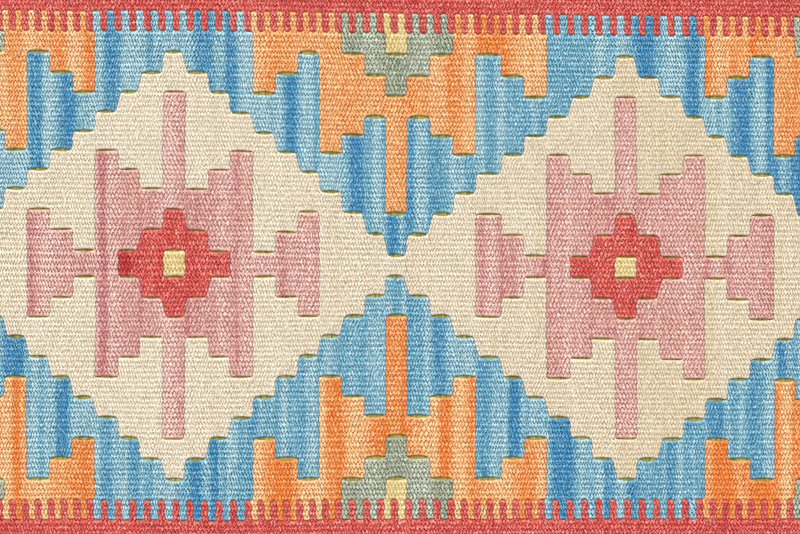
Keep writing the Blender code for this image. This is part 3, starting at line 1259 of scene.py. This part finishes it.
wools = {wool + "_wool": wool_material(wool) for wool in WOOL_SHADES}
print("mixed", ", ".join(wools))

# %% [markdown]
# ## Weaving the pieces
#
# Now every piece is cut, placed, mapped and given its wool. Last, its faces are split along
# their shorter diagonals: a longer one would cut across the slanted tip of a float.

# %% Weave every piece
def show(name, data):
    """Put a mesh, light or camera into the scene as an object."""
    thing = bpy.data.objects.new(name, data)
    bpy.context.scene.collection.objects.link(thing)
    return thing


def smooth_mesh(name, piece):
    """Turn a bmesh into a mesh with smooth faces."""
    mesh = bpy.data.meshes.new(name)
    piece.to_mesh(mesh)
    piece.free()
    mesh.polygons.foreach_set("use_smooth", np.ones(len(mesh.polygons), bool))
    return mesh


def split_faces(mesh):
    """Split every face along its shorter diagonal."""
    piece = bmesh.new()
    piece.from_mesh(mesh)
    bmesh.ops.triangulate(piece, faces=piece.faces[:], quad_method="SHORT_EDGE")
    piece.to_mesh(mesh)
    piece.free()


def weave_piece(name):
    """Make one finished piece of the cloth."""
    piece, held = cut_piece(name)
    mesh = smooth_mesh(name, piece)
    spots = np.round(read_back(mesh.vertices, "co", 3, np.float32)).astype(np.int64)
    places, turned = place_points(name, spots, held)
    sides, corner = face_sides(mesh, spots)
    mesh.vertices.foreach_set("co", places.astype(np.float32).ravel())
    map_weft(mesh, spots, turned, sides, corner)
    map_bake(mesh, places, sides, corner)
    mark_gaps(mesh, spots, sides)
    colour_picks(mesh, spots, corner, name)
    mesh.update()
    split_faces(mesh)
    slot = wool_of(name).replace("star", "red") + "_wool"
    mesh.materials.append(wools[slot])
    thing = show(name, mesh)
    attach(thing, "root")
    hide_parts("kilim_rug")
    return thing


woven = [weave_piece(name) for name in PIECES]
for thing in woven:
    print(thing.name, len(thing.data.polygons), "triangles")
print("in all", sum(len(thing.data.polygons) for thing in woven))

# %% [markdown]
# ## The ground inside the slits
#
# Through an open slit one sees the warps with the yarn that turns round them, on an olive
# wool ground. It is one thin ribbed sheet through the middle of the whole cloth, a rib for
# each warp, and the floats cover it everywhere else.

# %% Weave the ground
GROUND_SPANS = 20          # lengths that each rib is built of
GROUND_INSET = 0.0006      # how far the ground stays inside the edges
GROUND_TOP = (0.00098, 0.00138)       # height of its top between two ribs, and on a rib
GROUND_UNDER = (0.00082, 0.00080)

ground = bmesh.new()
bmesh.ops.create_grid(ground, x_segments=GROUND_SPANS, y_segments=2 * WARPS, size=0.5)
grown = bmesh.ops.extrude_face_region(ground, geom=ground.faces[:])["geom"]
lifted = {item for item in grown if isinstance(item, bmesh.types.BMVert)}
for point in ground.verts:
    rib = round((point.co.y + 0.5) * 2 * WARPS) % 2
    x = point.co.x * (CLOTH_LENGTH - 2 * GROUND_INSET)
    y = point.co.y * (CLOTH_WIDTH - 2 * GROUND_INSET)
    z = GROUND_TOP[rib] if point in lifted else GROUND_UNDER[rib]
    point.co = (*(float(v) for v in on_cloth(x, y)), z)
bmesh.ops.recalc_face_normals(ground, faces=ground.faces[:])
ground_mesh = smooth_mesh("warp_ground", ground)
ground_piece = show("warp_ground", ground_mesh)
print("the ground has", 2 * len(ground_mesh.polygons), "triangles")

# %% [markdown]
# The ground's wool is matt and olive. Its colour changes a little along the warps, and fine
# streaks run across them, where the hidden picks turn.

# %% Finish the ground
STREAKS = (900.0, 160.0, 160.0)       # streaks to the metre, along X, Y and Z
STREAK_RIM = (0.3, 0.7)    # noise between which the dark olive gives way to the light
ground_finish, tree, surface = new_finish("warp_ground")
spot = add_node(tree, "TexCoord").outputs["Object"]
stretched = add_node(tree, "Mapping", Vector=spot, Scale=STREAKS).outputs["Vector"]
streaks = add_node(tree, "TexNoise", Vector=stretched, Scale=1.0, Detail=3.0)
streak = soft_step(tree, streaks.outputs["Fac"], *STREAK_RIM)
relief = add_node(tree, "Bump", Height=streak, Strength=0.6, Distance=0.0002)
fill(
    tree, surface.inputs, Base_Color=blend(tree, streak, shade(120, 112, 50), shade(184, 176, 98)),
    Roughness=calc(tree, "MULTIPLY_ADD", streak, 0.15, 0.78), Normal=relief.outputs["Normal"],
    Specular_IOR_Level=0.2,
)
ground_mesh.materials.append(ground_finish)
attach(ground_piece, "root")
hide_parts("kilim_rug")
print("the ground's finish has", len(tree.nodes), "nodes")

# %% [markdown]
# ## The floor
#
# The rug lies on a plain pale floor, which reaches far past it on every side.

# %% Floor
FLOOR_REACH = 3.0          # from its middle to each side
floor_grid = bmesh.new()
bmesh.ops.create_grid(floor_grid, x_segments=8, y_segments=8, size=FLOOR_REACH)
floor_mesh = bpy.data.meshes.new("studio_floor")
floor_grid.to_mesh(floor_mesh)
floor_grid.free()
floor = show("studio_floor", floor_mesh)
floor_finish, tree, surface = new_finish("studio_floor")
fill(tree, surface.inputs, Base_Color=(0.74, 0.73, 0.71, 1.0), Roughness=0.9)
floor_mesh.materials.append(floor_finish)
floor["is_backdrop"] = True
print("the floor is", 2 * FLOOR_REACH, "m wide")

# %% [markdown]
# ## The light
#
# A wide sun stands beyond the top of the picture, half way up the sky. Every float gets the
# same soft light from it and throws a soft shade on the one below. A pale sky fills the gaps.

# %% Light
SKY_STRENGTH = 0.62
KEY_STRENGTH = 2.5
KEY_WIDTH = 24             # degrees
KEY_FROM = Vector((-0.22, 0.78, 0.95))      # the direction that its light comes from
sky = bpy.data.worlds.new("soft_studio")
bpy.context.scene.world = sky
sky.use_nodes = True
background = sky.node_tree.nodes["Background"].inputs
fill(sky.node_tree, background, Color=(1.0, 0.99, 0.97, 1.0), Strength=SKY_STRENGTH)
key = bpy.data.lights.new("key", "SUN")
key.energy = KEY_STRENGTH
key.angle = math.radians(KEY_WIDTH)
key.color = (1.0, 0.985, 0.96)
key_light = show("key", key)
key_light.rotation_euler = KEY_FROM.to_track_quat("Z", "Y").to_euler()
bpy.context.scene.view_settings.view_transform = "Standard"
sun_height = math.asin(KEY_FROM.normalized().z)
print("the sun stands", round(math.degrees(sun_height)), "degrees up")

# %% [markdown]
# ## The camera
#
# The photograph looks straight down on the rug, from close enough that the rug fills the
# frame. A long lens keeps its edges square. How far off the camera stands follows from the
# width that shows and from the lens.

# %% Camera
SHOWN_WIDTH = 0.3941       # length of cloth from the left to the right of the picture
LENS = 85.0                # millimetres, as is the sensor
SENSOR = 36.0
AIM = (0.00047, -0.00035)  # the point in the middle of the picture
lens = bpy.data.cameras.new("camera")
lens.lens = LENS
lens.sensor_width = SENSOR
lens.clip_start = 0.01
camera = show("camera", lens)
camera.location = (*AIM, CREST + SHOWN_WIDTH * LENS / SENSOR)
bpy.context.scene.camera = camera
print("the camera stands", round(camera.location.z, 3), "m above the floor")

# %% [markdown]
# ## The box of the pieces
#
# The size of the box around the new pieces of the rug is printed, in millimetres. The
# woven pieces have to stay in the box of the imported solid.

# %% Print the box of the new pieces
new_low, new_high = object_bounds()
new_size = [round(1000 * (high - low), 1) for low, high in zip(new_low, new_high)]
print("visual box in mm:", new_size)
